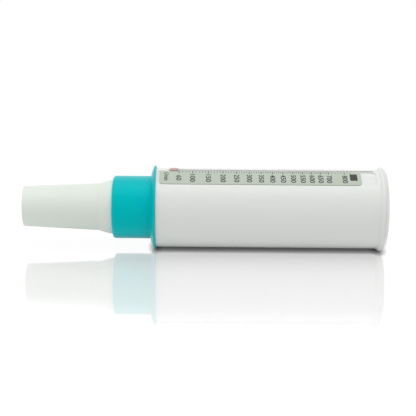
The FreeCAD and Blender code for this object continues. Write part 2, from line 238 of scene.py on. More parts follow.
class MeterCap(bpy.types.PropertyGroup):
    slope_length: length("Slope length", "Length of the sloping outer edge", 1.8)
    slope_drop: length("Slope drop", "How much narrower the cap is at its face", 2.1)
    edge_round: length("Edge round", "Radius at both ends of that slope", 0.6)
    joint_break: length("Joint break", "Radius of the edge at the joint with the tube", 0.2)
    skirt_wall: length("Skirt wall", "Thickness of the skirt in the tube", 1.6)
    skirt_fit: length("Skirt fit", "Clearance of the skirt in the tube", 0.08)
    standing_ring: length("Standing ring", "Width of the ring that the meter stands on", 5.5)
    face_recess: length("Face recess", "How far the grille lies below the ring", 0.7)
    ring_round: length("Ring round", "Radius of the ring's inner edge", 0.25)
    pocket_radius: length("Pocket radius", "Radius of the clip's pocket", 4.8)
    pocket_floor: length("Pocket floor", "Floor left in front of the clip's pocket", 0.2)
    boss_radius: length("Boss radius", "Radius of the boss that the spring rests on", 4.2)
    boss_length: length("Boss length", "Length of that boss inside the tube", 2.3)
    bore: length("Bore", "Radius of the rod's bore", 1.52)
    slot_count: count("Slots", "Air slots of the grille", 8)
    slot_width: length("Slot width", "Width of an air slot", 3.6)
    slot_inner: length("Slot inner", "Radius where the slots start", 8.2)
    slot_outer: length("Slot outer", "Radius where the slots end", 18.6)
    grille_inner: length("Grille inner", "Inner radius of the flat that holds the slots", 6.4)
    grille_outer: length("Grille outer", "Outer radius of the flat that holds the slots", 20.0)
    slot_round: length("Slot round", "Radius of the slots' outer edges", 0.3)


class MeterSpring(bpy.types.PropertyGroup):
    wire: length("Wire", "Diameter of the wire", 0.42)
    turns: number("Turns", "Number of turns of the coil", 27.0)
    dead_turns: number("Dead turns", "Closed turns at each end", 1.5)
    opening: number("Opening", "How sharply the closed turns give way to the open ones", 8.0)
    steps_per_turn: count("Steps per turn", "Points on each turn", 28)
    wire_steps: count("Wire steps", "Points round the wire", 10)
    keep: share("Keep", "Length left when the piston is at the end of its travel", 0.089)


class MeterFinish(bpy.types.PropertyGroup):
    mouthpiece: colour("Mouthpiece", "Pale clouded plastic", 0.78, 0.845, 0.77)
    turquoise: colour("Turquoise", "Plastic of the inlet collar", 0.0, 0.51, 0.535)
    white: colour("White", "Plastic of the tube and the cap", 0.795, 0.812, 0.785)
    plate: colour("Plate", "Ground colour of the scale plate", 0.50, 0.56, 0.48)
    ink: colour("Ink", "Printing of the scale", 0.02, 0.023, 0.02)
    pointer: colour("Pointer", "Dull red plastic of the pointer", 0.50, 0.31, 0.29)
    steel: colour("Steel", "Rod, clips, leaf and spring", 0.56, 0.56, 0.57)
    rubber: colour("Rubber", "Rest bumper", 0.03, 0.03, 0.032)
    piston: colour("Piston", "Piston disc and shoe", 0.70, 0.71, 0.70)
    bush: colour("Bush", "Low-friction bush and ring", 0.74, 0.72, 0.65)


class MeterStage(bpy.types.PropertyGroup):
    camera_distance: length("Camera distance", "From the camera to the meter's axis", 750.0)
    camera_elevation: angle("Camera elevation", "How high the camera looks down from", 19.5)
    camera_roll: angle("Camera roll", "Turn of the camera about its view", 0.6)
    camera_place: length("Camera place", "Place of the camera along the meter", -0.75)
    aim_place: length("Aim place", "Point that the camera aims at, along the meter", 2.43)
    aim_height: length("Aim height", "Height of that point above the floor", 26.25)
    lens: number("Lens", "Focal length on a 36 mm sensor", 102.1)
    floor_size: length("Floor size", "Side of the square floor", 80000.0)
    floor_colour: colour("Floor colour", "White card of the floor", 0.87, 0.87, 0.87)
    floor_white: number("Floor white", "Level of the floor's even white", 1.04)
    lit_share: share("Lit share", "Share of the floor's white that takes the soft shadows", 0.12)
    # Painted contact shadow: the floor's white and its mirror image darken close to the meter by ambient
    # occlusion, not by a lamp.
    contact_reach: length("Contact reach", "How near the meter the floor's white falls off", 4.0)
    contact_power: number("Contact power", "How steeply the white falls off there", 1.25)
    mirror: share("Mirror", "Share of the floor's light that is its mirror image", 0.46)
    mirror_end: length("Mirror end", "Distance from the meter at which the mirror has faded", 260.0)
    mirror_blur: share("Mirror blur", "Roughness of the floor's gloss", 0.04)
    world_light: number("World light", "Light from all round", 0.64)
    top_power: number("Top power", "Power of the top softbox, W", 4.4)


class MeterSettings(bpy.types.PropertyGroup):
    mouthpiece: PointerProperty(type=MeterMouthpiece)
    collar: PointerProperty(type=MeterCollar)
    tube: PointerProperty(type=MeterTube)
    plate: PointerProperty(type=MeterPlate)
    pointer: PointerProperty(type=MeterPointer)
    cap: PointerProperty(type=MeterCap)
    spring: PointerProperty(type=MeterSpring)
    finish: PointerProperty(type=MeterFinish)
    stage: PointerProperty(type=MeterStage)


# Outlines


def unit(vector):
    """A vector's direction, with length 1."""
    return vector / np.linalg.norm(vector)


def corner_arc(before, corner, after, radius):
    """Points of the arc of this radius that is tangent to both sides of a corner.

    The arc's centre is radius / sin(half the corner's angle) along the bisector, and its points
    turn from one tangent point to the other by equal angles.
    """
    to_before, to_after = unit(before - corner), unit(after - corner)
    half = math.acos(float(np.clip(to_before @ to_after, -1, 1))) / 2
    centre = corner + unit(to_before + to_after) * radius / math.sin(half)
    first = corner + to_before * radius / math.tan(half) - centre
    last = corner + to_after * radius / math.tan(half) - centre
    sweep = math.pi - 2 * half
    steps = max(2, math.ceil(CORNER_STEPS * sweep / QUARTER))
    t = np.linspace(0, 1, steps + 1)[:, None]
    return centre + (first * np.sin((1 - t) * sweep) + last * np.sin(t * sweep)) / math.sin(sweep)


def side_points(start, end):
    """Points inside a straight side: one close to each end, to hold the shading, and even steps."""
    reach = np.linalg.norm(end - start)
    if reach < 4 * SIDE_HOLD:
        return np.empty((0, 2))
    inner = np.linspace(0, 1, math.ceil(reach / SIDE_STEP) + 1)[1:-1]
    t = np.concatenate([[SIDE_HOLD / reach], inner, [1 - SIDE_HOLD / reach]])
    return start + (end - start) * t[:, None]


def outline(corners, closed=True):
    """An outline through corners (x, radius) or (x, radius, round), with arcs at the rounded ones."""
    places = [np.array(corner[:2], float) for corner in corners]
    neighbours = zip(places[-1:] + places[:-1], places, places[1:] + places[:1])
    runs = []
    for corner, (before, place, after) in zip(corners, neighbours):
        plain = len(corner) == 2
        runs.append(place[None, :] if plain else corner_arc(before, place, after, corner[2]))
    points = []
    for run, following in zip(runs, runs[1:] + runs[:1]):
        points += [run, side_points(run[-1], following[0])]
    return np.concatenate(points if closed else points[:-1])


def rounding(radius, steps=4):
    """Pairs radius (1 - cos), radius (1 - sin) over a quarter turn: a rounded edge's two distances."""
    turn = np.linspace(0, QUARTER, steps)
    return list(zip(radius * (1 - np.cos(turn)), radius * (1 - np.sin(turn))))


def line(start, end, steps):
    """Even points from start up to, and not including, end."""
    t = np.linspace(0, 1, steps, endpoint=False)[:, None]
    return np.array(start) + (np.array(end) - np.array(start)) * t


def arc(centre, radius, quarter, steps):
    """Points of one quarter of a circle, up to and not including the start of the next."""
    t = np.linspace(quarter * QUARTER, (quarter + 1) * QUARTER, steps, endpoint=False)
    return np.stack([centre[0] + radius * np.cos(t), centre[1] + radius * np.sin(t)], axis=-1)


def rounded_box(low, high, half, corner, steps, middle=0.0):
    """A closed rounded rectangle from x = low to high and by half to each side of the middle.

    It is four straight legs and four quarter circles. steps is (end, corner, side) steps, and
    rectangles with the same steps have points that answer each other.
    """
    end, turn, side = steps
    right, left = high - corner, low + corner
    inner = half - corner
    return np.concatenate([
        line((high, -inner), (high, inner), end),
        arc((right, inner), corner, 0, turn),
        line((right, half), (left, half), side),
        arc((left, inner), corner, 1, turn),
        line((low, inner), (low, -inner), end),
        arc((left, -inner), corner, 2, turn),
        line((left, -half), (right, -half), side),
        arc((right, -inner), corner, 3, turn),
    ]) + (0, middle)


def by_arc(points, radius):
    """Outline points as (x, angle), where their second value is an arc's length on this radius."""
    return points / (1, radius)


def by_side(points, radius):
    """Outline points as (x, angle), where their second value is a distance from the middle plane."""
    return np.stack([points[:, 0], np.arcsin(points[:, 1] / radius)], axis=-1)


def middle_of(shape):
    """The middle of an outline, once for each of its points."""
    return np.broadcast_to((shape.min(0) + shape.max(0)) / 2, shape.shape)


def ruled(inner, outer, rings):
    """Ruled grid from an inner outline to an outer one: each row is an even mix of the two."""
    t = np.linspace(0, 1, rings + 1)[:, None, None]
    return inner * (1 - t) + outer * t


# Grids in space


def round_axis(x, radius, turn):
    """Points at this x, radius and angle from the top, with positive angles on the near side.

    The point is (x, -radius sin(angle), axis height + radius cos(angle)).
    """
    x, radius, turn = np.broadcast_arrays(x, radius, turn)
    return np.stack([x, -radius * np.sin(turn), AXIS_HEIGHT + radius * np.cos(turn)], axis=-1)


def laid(flat, radius):
    """Points (x, angle) laid on a radius."""
    return round_axis(flat[..., 0], radius, flat[..., 1])


def turned(profile, angles=np.linspace(0, 4 * QUARTER, TURN_STEPS, endpoint=False)):
    """Surface of revolution: each (x, radius) of the profile carried round the axis."""
    return round_axis(profile[:, :1], profile[:, 1:], angles[None, :])


def quads(rows, columns, loop_rows, loop_columns):
    """Corner numbers of the faces of a grid whose points are numbered row by row."""
    row = np.arange(rows if loop_rows else rows - 1)[:, None]
    column = np.arange(columns if loop_columns else columns - 1)[None, :]
    next_row, next_column = (row + 1) % rows, (column + 1) % columns
    corners = np.broadcast_arrays(
        row * columns + column,
        row * columns + next_column,
        next_row * columns + next_column,
        next_row * columns + column,
    )
    return np.stack(corners, axis=-1).reshape(-1, 4)


class Surface:
    """Points and faces of one piece, added as grids or as meshes.

    A grid's rows close on themselves unless loop_columns is off, and its columns with loop_rows.
    """

    def __init__(self):
        self.points = []
        self.faces = []
        self.count = 0

    def add(self, grid, loop_rows=False, loop_columns=True):
        rows, columns = grid.shape[:2]
        return self.add_mesh(grid.reshape(-1, 3), quads(rows, columns, loop_rows, loop_columns))

    def add_mesh(self, points, faces):
        self.points.append(points)
        self.faces += (faces + self.count).tolist()
        self.count += len(points)
        return self


def make_piece(name, surface, look, slot, body, node=None):
    """An object from a Surface: doubles merged, faces turned outwards, smooth but for its creases.

    Its look makes its material. It is linked, rides on its body and may replace a CAD node.
    """
    mesh = bpy.data.meshes.new(name)
    mesh.from_pydata(np.concatenate(surface.points).tolist(), [], surface.faces)
    shape = bmesh.new()
    shape.from_mesh(mesh)
    bmesh.ops.remove_doubles(shape, verts=shape.verts, dist=MERGE_DISTANCE)
    bmesh.ops.recalc_face_normals(shape, faces=shape.faces)
    shape.to_mesh(mesh)
    shape.free()
    mesh.polygons.foreach_set("use_smooth", np.ones(len(mesh.polygons), bool))
    mesh.set_sharp_from_angle(angle=CREASE)
    mesh.materials.append(look(bpy.context.scene.meter.finish))
    piece = bpy.data.objects.new(name, mesh)
    bpy.context.scene.collection.objects.link(piece)
    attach(piece, body)
    if node:
        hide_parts(node)
    return piece


def make_turned_piece(name, corners, *belongs):
    """A piece turned about the axis from the corners of its closed outline."""
    return make_piece(name, Surface().add(turned(outline(corners)), loop_rows=True), *belongs)


# Shader nodes


def feed(tree, socket, value):
    """Link a socket to another one, or give it a value."""
    if isinstance(value, bpy.types.NodeSocket):
        tree.links.new(value, socket)
    else:
        socket.default_value = value


def add_node(tree, kind, **settings):
    """A node with settings. One that isn't the node's own feeds the socket of that name."""
    node = tree.nodes.new(kind)
    for label, value in settings.items():
        if hasattr(node, label):
            setattr(node, label, value)
        else:
            feed(tree, node.inputs[label.replace("_", " ")], value)
    return node


def math_node(tree, operation, *values):
    """Result of a Math node on sockets or numbers."""
    node = add_node(tree, "ShaderNodeMath", operation=operation)
    for socket, value in zip(node.inputs, values):
        feed(tree, socket, value)
    return node.outputs[0]


def mix_colours(tree, amount, first, second, blend="MIX"):
    """A colour mixed from two, which are sockets or values."""
    node = add_node(tree, "ShaderNodeMix", data_type="RGBA", blend_type=blend, Factor=amount)
    feed(tree, node.inputs[6], first)
    feed(tree, node.inputs[7], second)
    return node.outputs[2]


def mix_shaders(tree, amount, first, second):
    """A shader mixed from two. The share of the second is a number or a socket."""
    node = add_node(tree, "ShaderNodeMixShader", Fac=amount)
    feed(tree, node.inputs[1], first)
    feed(tree, node.inputs[2], second)
    return node.outputs[0]


def object_noise(tree, place, scale, detail, stretch=(1.0, 1.0, 1.0)):
    """Noise on Object coordinates, stretched along the axes. The scale is a number or a socket."""
    vector = add_node(tree, "ShaderNodeMapping", Vector=place, Scale=stretch).outputs["Vector"]
    return add_node(tree, "ShaderNodeTexNoise", Vector=vector, Scale=scale, Detail=detail).outputs["Fac"]


def remap(tree, value, low, high):
    """A 0 to 1 socket spread from low to high."""
    return add_node(tree, "ShaderNodeMapRange", Value=value, To_Min=low, To_Max=high).outputs["Result"]


def bumped(tree, height, strength, reach):
    """The normal of a surface whose height stands out by a reach times a strength."""
    node = add_node(tree, "ShaderNodeBump", Height=height, Strength=strength, Distance=reach)
    return node.outputs["Normal"]


def start_group(name, inputs):
    """A shader node group with these inputs, with its input sockets and its Object coordinates."""
    group = bpy.data.node_groups.new(name, "ShaderNodeTree")
    for label, value in inputs.items():
        kind = "NodeSocketColor" if isinstance(value, tuple) else "NodeSocketFloat"
        group.interface.new_socket(label, in_out="INPUT", socket_type=kind).default_value = value
    given = group.nodes.new("NodeGroupInput").outputs
    return group, given, group.nodes.new("ShaderNodeTexCoord").outputs["Object"]


def end_group(group, **results):
    """Give a group its three outputs, each fed by the result of that name."""
    kinds = {"Colour": "NodeSocketColor", "Roughness": "NodeSocketFloat", "Normal": "NodeSocketVector"}
    for label, kind in kinds.items():
        group.interface.new_socket(label, in_out="OUTPUT", socket_type=kind)
    add_node(group, "NodeGroupOutput", **results)
    return group


def moulded_group(name):
    """Moulded plastic: faint clouds in the colour, a fine spark-eroded grain, and rubbed patches.

    Clouds are wide noise that mixes the colour towards its shade. The grain is fine noise used as
    height. Roughness is the base value plus a spread that follows the rubbed patches and hairlines.
    """
    group, given, place = start_group(name, {
        "Colour": (0.8, 0.8, 0.8, 1.0),
        "Shade": (0.7, 0.7, 0.7, 1.0),
        "Cloud scale": 40.0,
        "Cloud amount": 0.3,
        "Grain scale": 4000.0,
        "Grain depth": 0.05,
        "Roughness": 0.3,
        "Roughness spread": 0.08,
    })
    clouds = object_noise(group, place, given["Cloud scale"], detail=4.0, stretch=(0.45, 1.0, 1.0))
    amount = math_node(group, "MULTIPLY", clouds, given["Cloud amount"])
    grain = object_noise(group, place, given["Grain scale"], detail=2.0)
    rubbed = object_noise(group, place, scale=90.0, detail=5.0)
    hairlines = object_noise(group, place, scale=900.0, detail=3.0, stretch=(0.05, 1.0, 1.0))
    marks = math_node(group, "MULTIPLY", rubbed, hairlines)
    spread = math_node(group, "MULTIPLY", marks, given["Roughness spread"])
    tripled = math_node(group, "MULTIPLY", spread, 3.0)
    return end_group(
        group,
        Colour=mix_colours(group, amount, given["Colour"], given["Shade"]),
        Roughness=math_node(group, "ADD", given["Roughness"], tripled),
        Normal=bumped(group, grain, given["Grain depth"], reach=0.02 * MM))


def drawn_metal_group(name):
    """Drawn steel: fine lines along the meter, as stretched noise in the height and the roughness."""
    group, given, place = start_group(
        name, {"Colour": (0.6, 0.6, 0.6, 1.0), "Roughness": 0.25, "Line depth": 0.3})
    lines = object_noise(group, place, scale=3000.0, detail=3.0, stretch=(0.02, 1.0, 1.0))
    stain = object_noise(group, place, scale=250.0, detail=3.0)
    tint = remap(group, stain, 0.0, 0.35)
    return end_group(
        group,
        Colour=mix_colours(group, tint, given["Colour"], (0.82, 0.80, 0.78, 1.0), "MULTIPLY"),
        Roughness=math_node(group, "ADD", given["Roughness"], remap(group, lines, -0.06, 0.1)),
        Normal=bumped(group, lines, given["Line depth"], reach=0.01 * MM))


# Materials


def opaque(values, factor=1.0):
    """A colour setting as four numbers, darkened by a factor."""
    return (*(value * factor for value in values), 1.0)


def grouped_material(name, group_name, make_group, values, constants):
    """A material whose Principled BSDF takes colour, roughness and normal from a group.

    Material and group are made on first use. values go on the group's sockets and constants
    straight on the shader's own.
    """
    found = bpy.data.materials.get(name)
    if found:
        return found
    material = bpy.data.materials.new(name)
    material.use_nodes = True
    tree = material.node_tree
    shader = tree.nodes["Principled BSDF"]
    group = bpy.data.node_groups.get(group_name) or make_group(group_name)
    effect = add_node(tree, "ShaderNodeGroup", node_tree=group)
    for node, settings in ((effect, values), (shader, constants)):
        for label, value in settings.items():
            node.inputs[label].default_value = value
    for label, target in (("Colour", "Base Color"), ("Roughness", "Roughness"), ("Normal", "Normal")):
        tree.links.new(effect.outputs[label], shader.inputs[target])
    return material


def plastic(name, base, shade, clouds, grain, roughness, constants):
    """A moulded plastic. The shade is the share of the colour that its clouds fall to.

    clouds are a scale and an amount, grain a scale and a depth, roughness a value and its spread.
    """
    labels = ("Cloud scale", "Cloud amount", "Grain scale", "Grain depth", "Roughness", "Roughness spread")
    values = dict(zip(labels, (*clouds, *grain, *roughness)))
    values.update(Colour=opaque(base), Shade=opaque(base, shade))
    return grouped_material(name, "Moulded plastic", moulded_group, values, constants)


def mouthpiece_plastic(finish):
    return plastic(
        "Clouded mouthpiece plastic", finish.mouthpiece, shade=0.90, clouds=(55.0, 0.5),
        grain=(2600.0, 0.35), roughness=(0.36, 0.10),
        constants={"Specular IOR Level": 0.3, "Subsurface Weight": 0.25, "Subsurface Scale": 2.5 * MM,
                   "Subsurface Radius": (1.0, 1.0, 0.95)})


def turquoise_plastic(finish):
    return plastic(
        "Turquoise plastic", finish.turquoise, shade=0.86, clouds=(70.0, 0.35),
        grain=(1800.0, 0.12), roughness=(0.24, 0.10),
        constants={"Specular Tint": (0.1, 1.0, 1.0, 1.0), "Specular IOR Level": 0.25})


def white_plastic(finish):
    return plastic(
        "White plastic", finish.white, shade=0.95, clouds=(45.0, 0.3),
        grain=(1500.0, 0.10), roughness=(0.24, 0.012),
        constants={"Specular IOR Level": 0.3, "Subsurface Weight": 0.3, "Subsurface Scale": 3.0 * MM,
                   "Subsurface Radius": (1.0, 1.0, 1.0)})


def plate_plastic(finish):
    return plastic(
        "Printed plate", finish.plate, shade=0.92, clouds=(900.0, 0.6),
        grain=(6000.0, 0.5), roughness=(0.42, 0.06), constants={"Specular IOR Level": 0.2})


def ink_print(finish):
    return plastic(
        "Scale ink", finish.ink, shade=0.55, clouds=(1600.0, 0.8),
        grain=(7000.0, 0.3), roughness=(0.45, 0.08), constants={})


def pointer_plastic(finish):
    return plastic(
        "Red pointer plastic", finish.pointer, shade=0.8, clouds=(400.0, 0.5),
        grain=(3000.0, 0.15), roughness=(0.26, 0.10),
        constants={"Coat Weight": 0.2, "Coat Roughness": 0.06})


def piston_plastic(finish):
    return plastic(
        "Piston plastic", finish.piston, shade=0.93, clouds=(120.0, 0.5),
        grain=(3500.0, 0.4), roughness=(0.42, 0.08), constants={})


def bush_plastic(finish):
    return plastic(
        "Waxy bush plastic", finish.bush, shade=0.9, clouds=(350.0, 0.6),
        grain=(3000.0, 0.2), roughness=(0.34, 0.10),
        constants={"Subsurface Weight": 0.2, "Subsurface Scale": 1.0 * MM})


def rubber(finish):
    return plastic(
        "Soft rubber", finish.rubber, shade=1.7, clouds=(900.0, 0.7),
        grain=(5000.0, 0.8), roughness=(0.62, 0.12), constants={})


def steel(finish):
    values = {"Colour": opaque(finish.steel), "Roughness": 0.26, "Line depth": 0.35}
    return grouped_material("Drawn steel", "Drawn metal", drawn_metal_group, values, {"Metallic": 1.0})


# Pieces


class METER_OT_mouthpiece(bpy.types.Operator):
    """Tapered tube that flares into the collar, turned from its rounded outline"""

    bl_idname = "meter.mouthpiece"
    bl_label = "Mouthpiece"

    def execute(self, context):
        size = context.scene.meter.mouthpiece
        taper_end = MOUTHPIECE_TIP + size.taper_length
        flare_end = taper_end + size.flare_length
        shoulder = SPIGOT_RADIUS - size.shoulder_drop
        wall = size.wall
        make_turned_piece("mouthpiece_shell", [
            (MOUTHPIECE_TIP, size.tip_radius, size.lip_round),
            (taper_end, size.taper_end_radius, size.foot_bend),
            (flare_end, shoulder, size.bend),
            (COLLAR_FRONT, SPIGOT_RADIUS),
            (MOUTHPIECE_END, SPIGOT_RADIUS, wall / 4),
            (MOUTHPIECE_END, SPIGOT_RADIUS - wall, wall / 4),
            (COLLAR_FRONT, SPIGOT_RADIUS - wall),
            (flare_end, shoulder - wall, size.bend),
            (taper_end, size.taper_end_radius - wall, size.bend),
            (MOUTHPIECE_TIP, size.tip_radius - wall, size.lip_round),
        ], mouthpiece_plastic, "mouthpiece_plastic", MOUTHPIECE_BODY, "mouthpiece")
        return {"FINISHED"}


class METER_OT_collar(bpy.types.Operator):
    """Turquoise socket with its rounded lip, sloping flange and hidden skirt"""

    bl_idname = "meter.collar"
    bl_label = "Inlet collar"

    def execute(self, context):
        size = context.scene.meter.collar
        tube = context.scene.meter.tube
        outer = size.socket_radius + size.wall
        flange_front = TUBE_FRONT - size.flange_thickness
        floor = COLLAR_FRONT + size.socket_depth
        seat = floor + size.stop_thickness
        seat_radius = size.socket_radius + size.stop_height - size.seat_fit
        stop_radius = size.socket_radius - size.stop_height
        skirt = tube.radius - tube.wall - size.skirt_fit
        skirt_inner = skirt - size.skirt_wall
        make_turned_piece("collar_shell", [
            (COLLAR_FRONT, size.socket_radius, size.seat_fit * 3),
            (COLLAR_FRONT, outer, size.lip_round),
            (flange_front, outer, size.root_round),
            (flange_front, RIM_RADIUS - size.flange_cone, size.root_round),
            (TUBE_FRONT - size.flange_land, RIM_RADIUS, size.flange_round),
            (TUBE_FRONT, RIM_RADIUS, tube.edge_break),
            (TUBE_FRONT, skirt),
            (SKIRT_END, skirt, tube.edge_break),
            (SKIRT_END, skirt_inner, tube.edge_break),
            (TUBE_FRONT, skirt_inner),
            (TUBE_FRONT, seat_radius, tube.edge_break),
            (seat, seat_radius),
            (seat, stop_radius, tube.edge_break),
            (floor, stop_radius, tube.edge_break),
            (floor, size.socket_radius),
        ], turquoise_plastic, "turquoise_plastic", METER_BODY, "inlet_collar")
        return {"FINISHED"}


class METER_OT_tube(bpy.types.Operator):
    """Tube with its raised rear rim, the pointer's slot and, beside it, the recess for the plate"""

    bl_idname = "meter.tube"
    bl_label = "Body tube"

    # The tube is covered in strips that meet point for point: one ruled round the slot, one beside
    # it ruled round the recess, and the rest, a plain grid. These are the outer edges of the two.
    far_edge, near_edge = math.radians(-8), math.radians(44)
    steps = (24, 8, 72)
    plain_steps = 128
    strip_rings = 4
    floor_rings = 8

    def strip(self, surface, hole, ends, turns, radius):
        """Cover a cylinder between two angles but for a hole there, given as (x, angle) points."""
        low, high = turns
        edge = rounded_box(*ends, (high - low) / 2, 0.0, self.steps, (high + low) / 2)
        surface.add(laid(ruled(hole, edge, self.strip_rings), radius))

    def plain(self, surface, ends, turns, radius):
        """Cover a cylinder at these angles with a plain grid."""
        x = np.linspace(*ends, self.steps[2] + 1)
        surface.add(round_axis(x[:, None], radius, turns[None, :]), loop_columns=False)

    def execute(self, context):
        size = context.scene.meter.tube
        outer = size.radius
        bore = outer - size.wall
        recess_floor = outer - size.recess_depth
        edge = size.edge_round
        slot_front = POINTER_FRONT - size.slot_before_pointer
        slot_rear = TUBE_REAR - size.slot_rear_room
        recess_front = TUBE_FRONT + size.recess_start
        recess_rear = TUBE_REAR - size.recess_rear_room
        land = (size.slot_width + size.land_width) / 2
        recess_low = land + size.land_width / 2
        recess_high = size.recess_half_angle * outer
        rim_front = TUBE_REAR - size.rim_width
        slope_front = rim_front - size.rim_slope

        def slot_at(grow, radius):
            half = size.slot_width / 2 + grow
            flat = rounded_box(slot_front - grow, slot_rear + grow, half, half, self.steps)
            return by_side(flat, radius)

        def recess_at(grow, _):
            return by_arc(rounded_box(
                recess_front - grow, recess_rear + grow, (recess_high - recess_low) / 2 + grow,
                size.recess_corner + grow, self.steps, (recess_high + recess_low) / 2), outer)

        surface = Surface()
        above, beside = (self.far_edge, land / outer), (land / outer, self.near_edge)
        rest = np.linspace(self.near_edge, 4 * QUARTER + self.far_edge, self.plain_steps)
        panel = (TUBE_FRONT + size.edge_break, slope_front - size.rim_slope / 2)
        self.strip(surface, slot_at(edge, outer), panel, above, outer)
        self.strip(surface, recess_at(edge, outer), panel, beside, outer)
        self.plain(surface, panel, rest, outer)
        for foot, outline_at in ((bore, slot_at), (recess_floor, recess_at)):
            profile = [(0.0, foot)] + [(grow, outer - drop) for grow, drop in rounding(edge)]
            surface.add(np.stack([laid(outline_at(grow, radius), radius) for grow, radius in profile]))
        floor = recess_at(0.0, recess_floor)
        surface.add(laid(ruled(middle_of(floor), floor, self.floor_rings), recess_floor))

        inside = (TUBE_FRONT, TUBE_REAR)
        above_turns = np.linspace(*above, self.steps[0] + 1)[:-1]
        beside_turns = np.linspace(*beside, self.steps[0] + 1)[:-1]
        self.strip(surface, slot_at(0.0, bore), inside, above, bore)
        self.plain(surface, inside, np.concatenate([beside_turns, rest]), bore)
        angles = np.concatenate([above_turns, beside_turns, rest[:-1]])
        rear = [
            (panel[1], outer),
            (slope_front, outer, size.rim_slope),
            (rim_front, RIM_RADIUS, size.rim_width / 2),
            (TUBE_REAR, RIM_RADIUS, size.edge_break),
            (TUBE_REAR, bore),
        ]
        front = [(panel[0], outer), (TUBE_FRONT, outer - size.edge_break), (TUBE_FRONT, bore)]
        for corners in (rear, front):
            surface.add(turned(outline(corners, closed=False), angles))
        make_piece("tube_shell", surface, white_plastic, "white_plastic", METER_BODY, "body_tube")
        return {"FINISHED"}


def bent_sheet(surface, ends, arcs, corner, radii, steps, rings):
    """A thin closed sheet bent round the tube: a rounded rectangle whose arcs start at the slot's middle.

    Its rows run from its middle out over the top, down the edge and back under it.
    """
    low, high = arcs
    shape = by_arc(rounded_box(*ends, (high - low) / 2, corner, steps, (low + high) / 2), PLATE_RADIUS)
    top = laid(ruled(middle_of(shape), shape, rings), max(radii))
    under = laid(ruled(shape, middle_of(shape), rings), min(radii))
    surface.add(np.concatenate([top, under]))


class METER_OT_plate(bpy.types.Operator):
    """Thin curved scale plate in the recess beside the slot"""

    bl_idname = "meter.plate"
    bl_label = "Scale plate"

    def execute(self, context):
        size = context.scene.meter.plate
        tube = context.scene.meter.tube
        surface = Surface()
        start = tube.slot_width / 2 + tube.land_width + size.edge_gap
        bent_sheet(
            surface, (PLATE_FRONT, PLATE_REAR), (start, PLATE_HALF_ANGLE * PLATE_RADIUS), size.corner,
            (PLATE_RADIUS, PLATE_RADIUS - size.thickness), steps=(12, 8, 72), rings=8)
        make_piece("scale_plate_face", surface, plate_plastic, "plate_print", METER_BODY, "scale_plate")
        return {"FINISHED"}


def place_of(size, flow):
    """Place of a flow along the meter: it grows with the logarithm of the flow plus an offset."""
    ratio = (flow + size.mark_offset) / (size.lowest_flow + size.mark_offset)
    return size.first_mark + size.mark_reach * math.log(ratio)


def numbered_flows(size):
    """Flows that carry a number: the lowest, round ones up to the last close one, and the highest."""
    step = size.number_step
    return [size.lowest_flow, *range(2 * step, size.last_close_flow + 1, step), size.highest_flow]


class METER_OT_scale_marks(bpy.types.Operator):
    """Marks of the scale, spaced by the logarithm of the flow, and the dark square at its end"""

    bl_idname = "meter.scale_marks"
    bl_label = "Scale marks"

    def execute(self, context):
        size = context.scene.meter.plate
        surface = Surface()
        radii = (PLATE_RADIUS + size.print_height, PLATE_RADIUS - size.print_height)
        last, wide = size.last_close_flow, size.wide_step
        flows = [
            *range(size.lowest_flow, last + 1, size.close_step),
            *range(last + wide, size.highest_flow + 2 * wide + 1, wide),
        ]
        numbered = set(numbered_flows(size))
        for flow in flows:
            long = flow in numbered
            half = (size.long_mark_width if long else size.short_mark_width) / 2
            arcs = (size.mark_start, size.mark_start + (size.long_mark if long else size.short_mark))
            x = place_of(size, flow)
            bent_sheet(surface, (x - half, x + half), arcs, 0.0, radii, steps=(4, 1, 4), rings=2)
        ends = (size.square_front, size.square_front + size.square_length)
        arcs = (size.square_start, size.square_start + size.square_width)
        bent_sheet(surface, ends, arcs, size.square_corner, radii, steps=(8, 4, 4), rings=2)
        make_piece("scale_marks", surface, ink_print, "plate_print", METER_BODY)
        return {"FINISHED"}


def text_points(text):
    """Points and triangles of a text set in Blender's own typeface, as thin solid letters."""
    curve = bpy.data.curves.new("letters", "FONT")
    curve.body = text
    curve.extrude = 0.5
    curve.offset = 0.02
    curve.resolution_u = 6
    letters = bpy.data.objects.new("letters", curve)
    bpy.context.scene.collection.objects.link(letters)
    bpy.context.view_layer.update()
    mesh = bpy.data.meshes.new_from_object(letters)
    points = np.zeros(len(mesh.vertices) * 3)
    mesh.vertices.foreach_get("co", points)
    mesh.calc_loop_triangles()
    faces = np.zeros(len(mesh.loop_triangles) * 3, np.int32)
    mesh.loop_triangles.foreach_get("vertices", faces)
    bpy.data.objects.remove(letters)
    bpy.data.curves.remove(curve)
    bpy.data.meshes.remove(mesh)
    return points.reshape(-1, 3), faces.reshape(-1, 3)


def printed_text(points, x_middle, arc_middle, width, height, print_height):
    """Letters bent on to the plate: they read away from the slot, with their tops to the rear.

    The text's own x becomes the arc from the slot, its y the place along the meter and its
    thickness the height of the print.
    """
    low, high = points.min(0), points.max(0)
    across, along, up = ((points - low) / (high - low)).T
    turn = (arc_middle + (across - 0.5) * width) / PLATE_RADIUS
    return round_axis(x_middle + (along - 0.5) * height, PLATE_RADIUS + (up * 2 - 1) * print_height, turn)


class METER_OT_scale_numbers(bpy.types.Operator):
    """Numbers of the scale and its unit, as thin solid letters bent on to the plate"""

    bl_idname = "meter.scale_numbers"
    bl_label = "Scale numbers"

    def execute(self, context):
        size = context.scene.meter.plate
        labels = []
        for flow in numbered_flows(size):
            width = size.digit_width * len(str(flow))
            labels.append((str(flow), place_of(size, flow), size.number_middle, width, size.number_height))
        labels.append((size.unit_text, size.unit_place, size.unit_middle, size.unit_width, size.unit_height))
        surface = Surface()
        for text, *layout in labels:
            letters, faces = text_points(text)
            surface.add_mesh(printed_text(letters, *layout, size.print_height), faces)
        make_piece("scale_numbers", surface, ink_print, "plate_print", METER_BODY)
        return {"FINISHED"}


